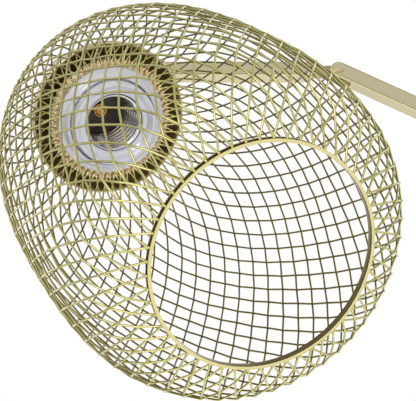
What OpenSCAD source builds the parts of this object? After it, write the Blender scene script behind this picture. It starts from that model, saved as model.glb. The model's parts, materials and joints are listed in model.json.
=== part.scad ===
/* [Base] */
// Diameter of the round base
base_d = 190; // [160:1:220]
// Height of the top of the base cover above the table
base_h = 20; // [19:1:30]
// Sheet thickness of the pressed base cover
cover_wall = 1.2; // [0.8:0.1:2]
// Radius of the rolled edge of the base cover
cover_edge_r = 6; // [3:1:8]
// Thickness of the soft pad that the base rests on
pad_t = 2; // [1:0.5:3]
// Thickness of the iron ballast disc
ballast_t = 10; // [8:0.5:11]
// Number of screws that hold the cover to the ballast
cover_screws = 3; // [3:1:6]
// Radius of the circle that the cover screws stand on
cover_screw_pitch_r = 64; // [52:1:68]

/* [Switch and cable inlet] */
// Distance of the push switch from the post
switch_offset = 46; // [38:1:50]
// Radius of the push button
switch_button_r = 6.5; // [5:0.5:8]
// Height of the button above its bezel
switch_button_rise = 4; // [3:0.5:6]
// Travel of the push button
switch_travel = 2; // [1:0.5:2.5]
// Radius of the hole that the mains cable comes in by
inlet_bore_r = 3; // [2.5:0.1:3.5]

/* [Post] */
// Outside width of the square post
post_side = 14; // [12:0.5:18]
// Wall of the square post
post_wall = 1.2; // [0.8:0.1:1.5]
// Height of the elbow pivot above the table
elbow_height = 330; // [260:1:420]
// Radius of the spigot that the elbow fork turns on
post_spigot_r = 4; // [3:0.25:4.5]
// Length of the bush in the top of the post
post_bush_len = 18; // [12:1:24]

/* [Arms] */
// Outside width of the square arm tube
arm_side = 8.5; // [8:0.25:10]
// Wall of the square arm tube
arm_wall = 0.9; // [0.7:0.05:1]
// Length of the long arm, from pivot to pivot
main_arm_length = 260; // [200:1:320]
// Angle of the long arm above the horizontal
main_arm_slope = 28.6; // [20:0.1:35]
// Length of the short arm, from pivot to pivot
head_arm_length = 152; // [130:1:180]
// Length of the bare tongue between the long arm and the nose of the short arm
wrist_tongue_len = 14.5; // [11:0.5:18]
// Length of the plugs that hold the hinge pieces in the tubes
plug_len = 14; // [10:1:18]
// Length of the bush in the end of the short arm
swivel_bush_len = 12; // [8:1:16]
// Radius of the spigot that the head fork turns on
swivel_spigot_r = 2; // [1.75:0.05:2.25]

/* [Hinges] */
// Thickness of the hinge tongues
tongue_t = 3; // [2.6:0.1:3.2]
// Width of the hinge tongues
tongue_w = 7.6; // [7:0.1:8]
// Thickness of the friction washers
washer_t = 0.5; // [0.3:0.1:0.6]
// Radius of the shank of the pivot screws
pivot_r = 1.45; // [1.25:0.05:1.75]
// Depth of the slots in the arm forks, from the pivot
slot_depth = 9; // [8:0.5:12]
// Width of the elbow fork
elbow_fork_w = 12; // [11:0.5:14]

/* [Head] */
// Turn of the head about the short arm, from straight down towards the front
head_roll = 43.7; // [0:0.1:80]
// Lean of the head away from a right angle to the short arm
head_lean = 20.8; // [-20:0.1:25]
// Distance from the tilt pivot to the collar of the shade
neck_reach = 97; // [90:1:120]
// Radius of the neck of the head
neck_r = 5; // [4.5:0.25:5.5]
// Radius of the hole through the neck
neck_bore_r = 3; // [2.75:0.05:3.5]
// Radius of the mouth of the cup
cup_r = 36; // [33:0.5:40]
// Depth of the cup
cup_depth = 31; // [30:0.5:36]
// Sheet thickness of the cup
cup_wall = 1; // [0.8:0.1:1.2]

/* [Lampholder] */
// Inside radius of the screw shell for the bulb
shell_bore_r = 13.3; // [13.2:0.05:13.5]
// Sheet thickness of the screw shell
shell_wall = 0.6; // [0.4:0.1:0.8]
// Length of the screw shell
shell_len = 25; // [22:0.5:25.5]
// Outside radius of the lampholder skirt
skirt_r = 20.8; // [19:0.1:21.5]
// Height of the mouth of the skirt in front of the shade collar
skirt_rise = 8; // [6:0.5:12]
// Outside radius of the ring that clamps the shade
shade_ring_r = 26.1; // [24.5:0.1:27]
// Thickness of the ring that clamps the shade
shade_ring_t = 6; // [4:0.5:6]

/* [Wire shade] */
// Length of the shade, from its collar to the front of its rim band
shade_len = 189.5; // [170:0.5:210]
// Largest radius of the shade
shade_r = 70.5; // [64:0.5:76]
// Outside radius of the flat collar that the wires are brazed to
collar_r = 29.5; // [28.5:0.1:31]
// Thickness of the flat collar
collar_t = 1.2; // [0.8:0.1:2]
// Radius of the opening of the shade
rim_bore_r = 42; // [38:0.5:46]
// Thickness of the rim band
rim_t = 2; // [1.5:0.1:3]
// Depth of the rim band
rim_depth = 3.5; // [3:0.5:6]
// Number of bars each way round the shade
mesh_bars = 27; // [21:1:29]
// Distance between crossings along a bar
mesh_pitch = 17.4; // [16.5:0.1:19]
// Width of a bar of the mesh
bar_w = 1.7; // [1.2:0.1:2.2]
// Depth of a bar of the mesh
bar_t = 1.7; // [1.2:0.1:2.2]

/* [Hidden] */
// Clearances: flat seats, loose fits, running fits and gaps between moving pieces
seat = 0.1;
loose = 0.25;
run = 0.05;
apart = 0.3;
$fn = 48;

// Base
cover_z = 1;
cover_r = base_d / 2;
pad_r = cover_r - cover_wall - 2;
ballast_z = pad_t + seat;
ballast_top = ballast_z + ballast_t;
cover_under = base_h - cover_wall;
cover_boss_r = 4.5;
cover_screw_r = 1.9;
cover_screw_head_r = 3.8;
cover_screw_head_t = 2.4;
hub_r = 16;
nut_recess_r = 13;
rod_r = 4;
rod_bore_r = 2.75;
rod_nut_r = 7.5;
rod_nut_t = 4;
rod_washer_r = 11;
rod_washer_t = 1.5;
rod_foot_gap = 0.6;
rod_nut_z = ballast_z + rod_foot_gap;
rod_washer_z = rod_nut_z + rod_nut_t + seat;
nut_recess_top = rod_washer_z + rod_washer_t + seat;
foot_plate_r = 18;
foot_plate_t = 3;
foot_h = 14;
foot_wall = 3;
post_plug_len = 16;
switch_angle = -40;
switch_body_r = 10;
switch_neck_r = switch_button_r + 2;
switch_bezel_t = 1.5;
switch_floor_z = pad_t + 1.5;
switch_wall = 1.5;
inlet_z = cover_z + 8.5;
inlet_wall = 1.6;
inlet_lip = 0.6;
inlet_collar_lip = 1.2;
inlet_collar_t = 2;
inlet_lip_t = 1.2;
inlet_seat_depth = 3;
inlet_channel_w = 2 * (inlet_bore_r + inlet_wall + inlet_lip + loose);

// Cable inside the tubes
lead_r = 2.5;
lead_end_gap = 3;

// Hinges
slot_w = tongue_t + 2 * (washer_t + run + seat);
washer_r = 3.3;
pivot_head_r = 2.8;
pivot_head_t = 1.4;
pivot_nut_r = 3;
pivot_nut_t = 2.4;
fork_block = 3;
arm_bore = arm_side - 2 * arm_wall;
arm_plug = arm_bore - 2 * seat;
elbow_tongue_len = elbow_fork_w / 2 + 2.2;
elbow_slot_depth = 8;
elbow_block = 6;
elbow_collar_r = 7;
elbow_collar_t = 2;
bush_flange_t = 2;
swivel_flange_t = 1.2;
clip_t = 1.2;
clip_lip = 0.9;
clip_groove = 0.3;
post_bore = post_side - 2 * post_wall;
post_plug = post_bore - 2 * seat;
post_top = elbow_height - elbow_slot_depth - elbow_block - elbow_collar_t - apart - bush_flange_t;
main_tube_start = elbow_tongue_len + arm_side / 2;
main_tube_end = main_arm_length - slot_depth - fork_block;
head_tube_start = wrist_tongue_len + arm_side / 2;
head_tube_end = head_arm_length - slot_depth - fork_block - apart - swivel_flange_t;

// Places of the pivots
elbow = [0, 0, elbow_height];
wrist = elbow + main_arm_length * [-cos(main_arm_slope), 0, sin(main_arm_slope)];
tilt = wrist - [head_arm_length, 0, 0];

// Head, measured along its axis from the front face of the shade collar
neck_shoulder = 10;
neck_tip = 6;
neck_flare = 8;
nipple_grip = 3;
cup_mouth = -3;
cup_floor_r = 11;
cup_floor_angle = acos(cup_floor_r / cup_r);
cup_floor = cup_mouth - cup_depth * sin(cup_floor_angle);
neck_flange_r = 9.5;
neck_flange_t = 3;
neck_nut_r = 8;
neck_nut_t = 2.2;
holder_back = cup_floor + cup_wall + neck_nut_t + 3 * seat;
holder_body_r = 15;
holder_plate_t = 2.6;
mouth_step = 1.2;
holder_front = -shell_len + skirt_rise - mouth_step;
nipple_hole_depth = 3.5;
skirt_wall = 2;
skirt_lip_t = 2;
shoulder_r = 24.5;
shoulder_t = 1.6;
// The inner end of the screw shell is rolled in, and the contact stands inside it
shell_end_r = shell_bore_r - 2;
shell_end_t = 1;
shell_taper = 2;
contact_r = 3.5;
contact_stem_r = 2;
contact_rise = shell_end_t + shell_taper - 0.4;
contact_t = 0.9;
contact_dish_r = 2.5;
contact_dish = 0.4;
terminal_r = 1.7;
terminal_len = 3.2;
terminal_back = 4.5;
ring_lip_t = 2.2;
ring_top_r = skirt_r + 1.9;
collar_bore_r = skirt_r + 0.3;

// Outline of the shade: distance from the collar and radius, as shares of its length and width
net_start = [0.006 * shade_len, collar_r - 1.3];
net_end = [shade_len - rim_depth / 2, rim_bore_r + rim_t + apart + bar_w / 2];
outline = [
    net_start,
    [0.045 * shade_len, 0.54 * shade_r],
    [0.13 * shade_len, 0.77 * shade_r],
    [0.30 * shade_len, 0.945 * shade_r],
    [0.53 * shade_len, shade_r],
    [0.74 * shade_len, shade_r],
    [0.88 * shade_len, 0.94 * shade_r],
    [0.965 * shade_len, 0.785 * shade_r],
    net_end
];
outline_steps = 24;

// A smooth curve through the outline points
function bend(a, b, c, d, t) =
    0.5 * (2 * b + (c - a) * t + (2 * a - 5 * b + 4 * c - d) * t * t
        + (3 * b - a - 3 * c + d) * t * t * t);
function outline_point(i) = outline[max(0, min(len(outline) - 1, i))];
curve = [
    for (i = [0 : len(outline) - 2], j = [0 : outline_steps - 1])
        bend(outline_point(i - 1), outline_point(i), outline_point(i + 1), outline_point(i + 2),
            j / outline_steps),
    net_end
];
curve_last = len(curve) - 1;
function on_curve(s) =
    let (i = max(0, min(curve_last - 1, floor(s))))
    curve[i] + (curve[i + 1] - curve[i]) * (s - i);
// The straight distance between two neighbouring crossings, half a bay apart round the shade
function step_length(a, b) =
    sqrt(a[1] * a[1] + b[1] * b[1] - 2 * a[1] * b[1] * cos(180 / mesh_bars)
        + (a[0] - b[0]) * (a[0] - b[0]));
step_grain = 0.1;
function next_row(s, from) =
    s <= 0 ? 0 : step_length(on_curve(s), on_curve(from)) >= mesh_pitch ? s
        : next_row(s - step_grain, from);
function row_list(s) = s <= 0 ? [0] : concat([s], row_list(next_row(s - step_grain, s)));
// Rows of crossings from the rim back to the collar; a last short row is left out
rows_found = row_list(curve_last);
row_count = len(rows_found) - 1;
last_gap = step_length(on_curve(rows_found[row_count]), on_curve(rows_found[row_count - 1]));
drop_last = last_gap < mesh_pitch * 0.45 ? 1 : 0;
rows = [
    for (i = [0 : row_count - drop_last])
        i == row_count - drop_last ? 0 : rows_found[i]
];
last_row = len(rows) - 1;

// Points of the mesh: crossings on the outside and the inside, and the corners of each opening
function slope_at(s) = on_curve(s + 0.5) - on_curve(s - 0.5);
function outward(s) = let (d = slope_at(s)) [-d[1], d[0]] / norm(d);
function ring_point(p, turn) = [p[1] * cos(turn), p[1] * sin(turn), p[0]];
function turn_of(row, j) = 360 / mesh_bars * (j + (row % 2) / 2);
function crossing(row, j, side) =
    ring_point(on_curve(rows[row]) + outward(rows[row]) * bar_t / 2 * side, turn_of(row, j));
function wrap(j) = (j + mesh_bars) % mesh_bars;
function out_id(row, j) = row * mesh_bars + wrap(j);
function in_id(row, j) = (last_row + 1 + row) * mesh_bars + wrap(j);
function mid_index(row, j) = row % 2 == 0 ? j : j + 1;
hole_base = 2 * (last_row + 1) * mesh_bars;
function hole_id(row, j, corner) = hole_base + (row * mesh_bars + wrap(j)) * 4 + corner;
function centre(points) = (points[0] + points[1] + points[2] + points[3]) / 4;
// The four crossings round the opening that is centred on a row, clockwise from the outside
function bay_nodes(row, j) = [
    [max(row - 1, 0), row == 0 ? j : mid_index(row, j)],
    [row, j + 1],
    [min(row + 1, last_row), row == last_row ? j : mid_index(row, j)],
    [row, j]
];
function bay_points(row, j) = [for (n = bay_nodes(row, j)) crossing(n[0], n[1], 1)];
function end_bay(row) = row == 0 || row == last_row;
function end_middle(row, j) =
    (crossing(row, j, 1) + crossing(row, j + 1, 1)) / 2;
function bay_corners(row, j) =
    end_bay(row)
        ? [
            row == 0 ? end_middle(row, j) : bay_points(row, j)[0],
            crossing(row, j + 1, 1),
            row == 0 ? bay_points(row, j)[2] : end_middle(row, j),
            crossing(row, j, 1)
        ]
        : bay_points(row, j);
// How far the corners of an opening move in, so that the bars keep their width
function bay_inset(c) =
    let (
        a = norm(c[1] - c[3]) / 2,
        b = norm(c[2] - c[0]) / 2
    ) min(0.75, bar_w / 2 * norm([a, b]) / (a * b));
function end_inset(c) =
    let (
        a = norm(c[1] - c[3]) / 2,
        b = norm(c[2] - c[0])
    ) min(0.6, 1.5 * bar_w * (a + norm([a, b])) / (a * b));
function bay_hole(row, j) =
    let (c = bay_corners(row, j))
    end_bay(row)
        ? let (
            tip = row == 0 ? c[2] : c[0],
            m = (tip + c[1] + c[3]) / 3,
            f = end_inset(c)
        ) [
            row == 0 ? (c[0] + (m - c[0]) * f) : tip + (m - tip) * f,
            c[1] + (m - c[1]) * f,
            row == 0 ? tip + (m - tip) * f : (c[2] + (m - c[2]) * f),
            c[3] + (m - c[3]) * f
        ]
        : let (m = centre(c), f = bay_inset(c)) [for (p = c) p + (m - p) * f];
mesh_points = concat(
    [for (row = [0 : last_row], j = [0 : mesh_bars - 1]) crossing(row, j, 1)],
    [for (row = [0 : last_row], j = [0 : mesh_bars - 1]) crossing(row, j, -1)],
    [for (row = [0 : last_row], j = [0 : mesh_bars - 1], p = bay_hole(row, j)) p]
);
// The sides of a bay: from one crossing to the next, with the corners of the hole beside it
function full_sides(row, j) = [
    for (k = [0 : 3])
        let (n = bay_nodes(row, j), a = n[k], b = n[(k + 1) % 4])
        [out_id(a[0], a[1]), out_id(b[0], b[1]), in_id(a[0], a[1]), in_id(b[0], b[1]),
            hole_id(row, j, k), hole_id(row, j, (k + 1) % 4)]
];
function frame_faces(s) = [
    [s[0], s[1], s[5]],
    [s[0], s[5], s[4]],
    [s[4], s[5], s[3]],
    [s[4], s[3], s[2]]
];
function end_faces(row, j) =
    let (
        mid = mid_index(row, j),
        r2 = row == 0 ? 1 : last_row - 1,
        left = [row, j],
        right = [row, j + 1],
        tip = [r2, mid],
        h = [for (k = [0 : 3]) hole_id(row, j, k)],
        o = [for (n = [left, right, tip]) out_id(n[0], n[1])],
        i = [for (n = [left, right, tip]) in_id(n[0], n[1])]
    )
    row == 0
        ? concat(
            frame_faces([o[1], o[2], i[1], i[2], h[1], h[2]]),
            frame_faces([o[2], o[0], i[2], i[0], h[2], h[3]]),
            [[o[0], o[1], h[0]], [o[1], h[1], h[0]], [o[0], h[0], h[3]],
                [h[0], h[1], i[1]], [h[3], h[0], i[0]], [h[0], i[1], i[0]],
                [o[1], o[0], i[0]], [o[1], i[0], i[1]]]
        )
        : concat(
            frame_faces([o[0], o[2], i[0], i[2], h[3], h[0]]),
            frame_faces([o[2], o[1], i[2], i[1], h[0], h[1]]),
            [[o[1], o[0], h[2]], [o[0], h[3], h[2]], [o[1], h[2], h[1]],
                [h[2], h[3], i[0]], [h[1], h[2], i[1]], [h[2], i[0], i[1]],
                [o[0], o[1], i[1]], [o[0], i[1], i[0]]]
        );
mesh_faces = concat(
    [
        for (row = [1 : last_row - 1], j = [0 : mesh_bars - 1], s = full_sides(row, j),
            f = frame_faces(s)) f
    ],
    [for (row = [0, last_row], j = [0 : mesh_bars - 1], f = end_faces(row, j)) f]
);

brass = "#c9bf8a";
dark_brass = "#9a8c5c";
steel = "#b9bcc0";
iron = "#3d3e40";
porcelain = "#d9dbe2";
rubber = "#2a2a2b";
phenolic = "#2b211d";
cable = "#e6e4dd";

// Frames: each has its origin at a pivot and its Z axis along the member
module at_elbow() {
    translate(elbow) children();
}
module along_main_arm() {
    translate(elbow) rotate([0, main_arm_slope - 90, 0]) children();
}
module along_head_arm() {
    translate(wrist) rotate([0, -90, 0]) children();
}
module at_wrist() {
    translate(wrist) children();
}
module at_head_fork() {
    translate(tilt) rotate([-head_roll, 0, 0]) rotate([0, -90, 0]) children();
}
module along_neck() {
    translate(tilt) rotate([-head_roll, 0, 0]) rotate([0, 180 - head_lean, 0]) children();
}
module along_head() {
    along_neck() translate([0, 0, neck_reach]) children();
}

// Shapes that repeat
module rounded_disc(r, h, edge) {
    rotate_extrude($fn = 128) {
        square([r - edge, h]);
        square([r, h - edge]);
        translate([r - edge, h - edge]) intersection() {
            circle(edge);
            square(edge);
        }
    }
}
module ring(outer, inner, h) {
    difference() {
        cylinder(r = outer, h = h);
        translate([0, 0, -1]) cylinder(r = inner, h = h + 2);
    }
}
module hex_nut(r, bore, h) {
    difference() {
        cylinder(r = r, h = h, $fn = 6);
        translate([0, 0, -1]) cylinder(r = bore, h = h + 2);
    }
}
module block(side, h) {
    translate([-side / 2, -side / 2, 0]) cube([side, side, h]);
}
module square_tube(side, wall, length) {
    difference() {
        block(side, length);
        translate([0, 0, -1]) block(side - 2 * wall, length + 2);
    }
}
// A cylinder whose axis is the pin of a hinge
module pin_bore(r, length) {
    rotate([90, 0, 0]) translate([0, 0, -length / 2]) cylinder(r = r, h = length);
}
module side_profile(thickness) {
    rotate([90, 0, 0]) translate([0, 0, -thickness / 2]) linear_extrude(thickness) children();
}
// The tongue of a hinge: a round-ended plate
module tongue_plate(length) {
    side_profile(tongue_t) {
        circle(tongue_w / 2);
        translate([-tongue_w / 2, 0]) square([tongue_w, length]);
    }
}
// A tongue with a round nose and a plug that fits the arm tube
module arm_tongue(free_length) {
    start = free_length + arm_side / 2;
    difference() {
        union() {
            tongue_plate(start);
            intersection() {
                translate([0, 0, start]) pin_bore(arm_side / 2, arm_side);
                translate([0, 0, free_length - 1]) block(arm_side + 2, arm_side / 2 + 1);
            }
            translate([0, 0, start]) block(arm_plug, plug_len);
        }
        pin_bore(pivot_r + run, arm_side);
    }
}
// A fork: two round-ended cheeks on a block, open towards +Z
module fork(width, depth, block_len) {
    difference() {
        side_profile(width) {
            circle(width / 2);
            translate([-width / 2, -depth - block_len]) square([width, depth + block_len]);
        }
        side_profile(slot_w) translate([-width, -depth]) square([2 * width, depth + width]);
        pin_bore(pivot_r + run, width + 2);
    }
}
// A stretch of cable inside a tube, with a little room at each end
module lead(from, to) {
    translate([0, 0, from + lead_end_gap])
        cylinder(r = lead_r, h = to - from - 2 * lead_end_gap, $fn = 24);
}
// A pair of washers, one on each side of a tongue
module washers() {
    for (side = [-1, 1])
        translate([0, side * (tongue_t / 2 + seat + washer_t / 2), 0]) difference() {
            pin_bore(washer_r, washer_t);
            pin_bore(pivot_r + run, washer_t + 2);
        }
}
module pivot_screw(width) {
    pin_bore(pivot_r, width + 2 * pivot_nut_t);
    translate([0, -width / 2 - seat - pivot_head_t / 2, 0]) pin_bore(pivot_head_r, pivot_head_t);
}
module pivot_nut(width) {
    translate([0, width / 2 + seat, 0]) rotate([-90, 0, 0])
        hex_nut(pivot_nut_r, pivot_r + run, pivot_nut_t);
}
module base_pad() {
    color(rubber) cylinder(r = pad_r, h = pad_t, $fn = 128);
}

module on_screw_circle() {
    for (i = [0 : cover_screws - 1])
        rotate([0, 0, 90 + (i + 0.5) * 360 / cover_screws])
            translate([cover_screw_pitch_r, 0, 0]) children();
}
module at_switch() {
    rotate([0, 0, switch_angle]) translate([switch_offset, 0, 0]) children();
}

module base_ballast() {
    color(iron) difference() {
        union() {
            translate([0, 0, ballast_z]) cylinder(r = pad_r, h = ballast_t, $fn = 128);
            translate([0, 0, ballast_z]) cylinder(r = hub_r, h = cover_under - seat - ballast_z);
        }
        translate([0, 0, -1]) cylinder(r = rod_r + loose, h = base_h + 1);
        translate([0, 0, ballast_z - 1]) cylinder(r = nut_recess_r, h = nut_recess_top - ballast_z + 1);
        translate([-inlet_channel_w / 2, nut_recess_r - 4, ballast_z - 1])
            cube([inlet_channel_w, cover_r, ballast_t + 2]);
        at_switch() translate([0, 0, -1]) cylinder(r = switch_body_r + 1, h = base_h + 2);
        on_screw_circle() {
            translate([0, 0, -1]) cylinder(r = cover_screw_r + loose, h = base_h);
            translate([0, 0, -1]) cylinder(r = cover_screw_head_r + loose,
                h = 1 + ballast_z + cover_screw_head_t + 2 * seat);
        }
    }
}

module base_cover() {
    color(brass) difference() {
        union() {
            difference() {
                translate([0, 0, cover_z]) rounded_disc(cover_r, base_h - cover_z, cover_edge_r);
                translate([0, 0, cover_z - 1])
                    rounded_disc(cover_r - cover_wall, cover_under - cover_z + 1,
                        cover_edge_r - cover_wall);
            }
            on_screw_circle() translate([0, 0, ballast_top + seat])
                cylinder(r = cover_boss_r, h = base_h - cover_wall / 2 - ballast_top - seat);
        }
        translate([0, 0, cover_z]) cylinder(r = rod_r + loose, h = base_h);
        on_screw_circle() translate([0, 0, ballast_z]) cylinder(r = cover_screw_r + run,
            h = base_h - cover_wall - ballast_z);
        at_switch() translate([0, 0, ballast_z]) cylinder(r = switch_neck_r + run, h = base_h);
        translate([0, cover_r - 10, inlet_z]) rotate([-90, 0, 0])
            cylinder(r = inlet_bore_r + inlet_wall + run, h = 20);
    }
}

module base_cover_screws() {
    color(steel) on_screw_circle() {
        translate([0, 0, ballast_z + seat]) cylinder(r = cover_screw_head_r, h = cover_screw_head_t);
        translate([0, 0, ballast_z + seat])
            cylinder(r = cover_screw_r, h = cover_under - 1 - ballast_z - seat);
    }
}

module cable_inlet() {
    r = inlet_bore_r + inlet_wall;
    length = inlet_seat_depth + cover_wall + seat;
    color(rubber) translate([0, cover_r - cover_wall - inlet_seat_depth, inlet_z])
        rotate([-90, 0, 0]) difference() {
            union() {
                cylinder(r = r, h = length + inlet_collar_t);
                cylinder(r = r + inlet_lip, h = inlet_lip_t);
                translate([0, 0, length]) cylinder(r = r + inlet_collar_lip, h = inlet_collar_t);
            }
            translate([0, 0, -1]) cylinder(r = inlet_bore_r, h = length + inlet_collar_t + 2);
        }
}

module switch_body() {
    color(rubber) at_switch() difference() {
        union() {
            translate([0, 0, switch_floor_z])
                cylinder(r = switch_body_r, h = cover_under - seat - switch_floor_z);
            translate([0, 0, switch_floor_z]) cylinder(r = switch_neck_r,
                h = base_h + seat + switch_bezel_t - switch_floor_z);
            translate([0, 0, base_h + seat]) cylinder(r = switch_body_r, h = switch_bezel_t);
        }
        translate([0, 0, switch_floor_z + switch_wall])
            cylinder(r = switch_button_r + run, h = base_h + 10);
    }
}

module switch_button() {
    color(porcelain) at_switch()
        translate([0, 0, switch_floor_z + switch_wall + switch_travel + apart])
            cylinder(r = switch_button_r,
                h = base_h + switch_bezel_t + switch_button_rise - switch_floor_z - switch_wall
                    - switch_travel - apart);
}

module post_rod() {
    color(steel) translate([0, 0, rod_nut_z])
        ring(rod_r, rod_bore_r, base_h + post_plug_len - rod_nut_z);
}

module post_rod_nut() {
    color(steel) translate([0, 0, rod_nut_z]) hex_nut(rod_nut_r, rod_r + run, rod_nut_t);
}

module post_rod_washer() {
    color(steel) translate([0, 0, rod_washer_z]) ring(rod_washer_r, rod_r + loose, rod_washer_t);
}

module post_foot() {
    color(brass) translate([0, 0, base_h + seat]) difference() {
        union() {
            cylinder(r = foot_plate_r, h = foot_plate_t);
            block(post_side + 2 * foot_wall, foot_h);
        }
        translate([0, 0, -1]) block(post_side + 2 * seat, foot_h + 2);
    }
}

module post_plug() {
    color(steel) translate([0, 0, base_h + seat]) difference() {
        block(post_plug, post_plug_len);
        translate([0, 0, -1]) cylinder(r = rod_r + run, h = post_plug_len + 2);
    }
}

module post_tube() {
    color(brass) translate([0, 0, base_h + seat])
        square_tube(post_side, post_wall, post_top - base_h - seat);
}

module post_lead() {
    color(cable) translate([0, 0, rod_nut_z + seat])
        cylinder(r = lead_r, $fn = 24,
            h = post_top - post_bush_len - lead_end_gap - 2 * clip_t - rod_nut_z);
}

module post_bush() {
    color(dark_brass) translate([0, 0, post_top - post_bush_len]) difference() {
        union() {
            block(post_plug, post_bush_len);
            translate([0, 0, post_bush_len + seat / 2]) block(post_side, bush_flange_t - seat / 2);
            block(post_plug, post_bush_len + bush_flange_t);
        }
        translate([0, 0, -1]) cylinder(r = post_spigot_r + run, h = post_bush_len + bush_flange_t + 2);
    }
}

module post_clip() {
    color(steel) translate([0, 0, post_top - post_bush_len - apart - clip_t])
        ring(post_spigot_r + clip_lip, post_spigot_r - clip_groove + run, clip_t);
}

module elbow_fork() {
    base = -elbow_slot_depth - elbow_block;
    spigot_end = post_top - post_bush_len - apart - 2 * clip_t - elbow_height;
    color(brass) at_elbow() {
        difference() {
            union() {
                fork(elbow_fork_w, elbow_slot_depth, elbow_block);
                translate([0, 0, base - elbow_collar_t]) cylinder(r = elbow_collar_r, h = elbow_collar_t);
                translate([0, 0, spigot_end])
                    cylinder(r = post_spigot_r, h = base - elbow_collar_t - spigot_end);
            }
            translate([0, 0, spigot_end + clip_t - run])
                ring(post_spigot_r + 1, post_spigot_r - clip_groove, clip_t + 2 * run);
        }
    }
}

module elbow_washers() {
    color(dark_brass) at_elbow() washers();
}
module elbow_screw() {
    color(steel) at_elbow() pivot_screw(elbow_fork_w);
}
module elbow_nut() {
    color(steel) at_elbow() pivot_nut(elbow_fork_w);
}

module elbow_tongue() {
    color(brass) along_main_arm() arm_tongue(elbow_tongue_len);
}

module main_tube() {
    color(brass) along_main_arm() translate([0, 0, main_tube_start])
        square_tube(arm_side, arm_wall, main_tube_end - main_tube_start);
}

module main_lead() {
    color(cable) along_main_arm()
        lead(main_tube_start + plug_len, main_tube_end - plug_len);
}

module wrist_fork() {
    color(brass) along_main_arm() translate([0, 0, main_arm_length]) {
        fork(arm_side, slot_depth, fork_block);
        translate([0, 0, -slot_depth - fork_block - plug_len]) block(arm_plug, plug_len + 1);
    }
}

module wrist_washers() {
    color(dark_brass) at_wrist() washers();
}
module wrist_screw() {
    color(steel) at_wrist() pivot_screw(arm_side);
}
module wrist_nut() {
    color(steel) at_wrist() pivot_nut(arm_side);
}

module wrist_tongue() {
    color(brass) along_head_arm() arm_tongue(wrist_tongue_len);
}

module head_tube() {
    color(brass) along_head_arm() translate([0, 0, head_tube_start])
        square_tube(arm_side, arm_wall, head_tube_end - head_tube_start);
}

module head_lead() {
    color(cable) along_head_arm()
        lead(head_tube_start + plug_len, head_tube_end - swivel_bush_len - apart - clip_t);
}

module swivel_bush() {
    color(dark_brass) along_head_arm() translate([0, 0, head_tube_end - swivel_bush_len]) difference() {
        union() {
            block(arm_plug, swivel_bush_len + swivel_flange_t);
            translate([0, 0, swivel_bush_len + seat / 2]) block(arm_side, swivel_flange_t - seat / 2);
        }
        translate([0, 0, -1])
            cylinder(r = swivel_spigot_r + run, h = swivel_bush_len + swivel_flange_t + 2);
    }
}

module swivel_clip() {
    color(steel) along_head_arm() translate([0, 0, head_tube_end - swivel_bush_len - apart - clip_t])
        ring(swivel_spigot_r + clip_lip, swivel_spigot_r - clip_groove + run, clip_t);
}

module swivel_fork() {
    base = -slot_depth - fork_block;
    spigot_end = head_tube_end - swivel_bush_len - apart - 2 * clip_t - head_arm_length;
    color(brass) at_head_fork() difference() {
        union() {
            fork(arm_side, slot_depth, fork_block);
            translate([0, 0, spigot_end]) cylinder(r = swivel_spigot_r, h = base - spigot_end);
        }
        translate([0, 0, spigot_end + clip_t - run])
            ring(swivel_spigot_r + 1, swivel_spigot_r - clip_groove, clip_t + 2 * run);
    }
}

module tilt_washers() {
    color(dark_brass) at_head_fork() washers();
}
module tilt_screw() {
    color(steel) at_head_fork() pivot_screw(arm_side);
}
module tilt_nut() {
    color(steel) at_head_fork() pivot_nut(arm_side);
}

module neck() {
    flange_front = neck_reach + cup_floor - seat;
    nipple_end = neck_reach + holder_back + nipple_grip;
    color(brass) along_neck() difference() {
        union() {
            tongue_plate(neck_shoulder + 1);
            translate([0, 0, neck_shoulder]) cylinder(r = neck_r, h = nipple_end - neck_shoulder);
            translate([0, 0, flange_front - neck_flange_t])
                cylinder(r = neck_flange_r, h = neck_flange_t);
            translate([0, 0, flange_front - neck_flange_t - neck_flare])
                cylinder(r1 = neck_r, r2 = neck_flange_r - 1.5, h = neck_flare);
        }
        pin_bore(pivot_r + run, arm_side);
        translate([0, 0, neck_shoulder + neck_tip]) cylinder(r = neck_bore_r, h = nipple_end);
    }
}

module neck_lead() {
    color(cable) along_neck()
        lead(neck_shoulder + neck_tip, neck_reach + holder_back + nipple_grip + lead_end_gap);
}

module neck_nut() {
    color(steel) along_head() translate([0, 0, cup_floor + cup_wall + seat])
        hex_nut(neck_nut_r, neck_r + run, neck_nut_t);
}

// The bowl of the cup follows a quarter ellipse down to its flat floor
cup_turns = 14;
function bowl(r, depth) = [
    for (i = [0 : cup_turns])
        let (a = cup_floor_angle * i / cup_turns) [r * cos(a), cup_mouth - depth * sin(a)]
];
module cup() {
    outer = bowl(cup_r, cup_depth);
    inner = bowl(cup_r - cup_wall, cup_depth - cup_wall / sin(cup_floor_angle));
    inner_floor = inner[cup_turns];
    color(brass) along_head() difference() {
        rotate_extrude($fn = 96) polygon(concat(
            [[0, cup_floor]],
            [for (i = [cup_turns : -1 : 0]) outer[i]],
            inner,
            [[0, inner_floor[1]]]
        ));
        translate([0, 0, cup_floor - 1]) cylinder(r = neck_r + seat, h = cup_wall + 2);
    }
}

module at_terminals(from) {
    for (side = [-1, 1])
        translate([side * (holder_body_r - from), 0, holder_back + terminal_back])
            rotate([0, side * 90, 0]) children();
}
module lampholder_body() {
    color(phenolic) along_head() difference() {
        union() {
            translate([0, 0, holder_back])
                cylinder(r = holder_body_r, h = holder_front - holder_plate_t / 2 - holder_back);
            translate([0, 0, holder_front - holder_plate_t])
                cylinder(r = skirt_r, h = holder_plate_t);
        }
        translate([0, 0, holder_back - 1]) cylinder(r = neck_r + run, h = nipple_hole_depth + 1);
        at_terminals(terminal_len) cylinder(r = terminal_r + run, h = terminal_len + 1);
    }
}

module terminal_screws() {
    color(steel) along_head() at_terminals(terminal_len - loose)
        cylinder(r = terminal_r, h = terminal_len);
}

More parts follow.
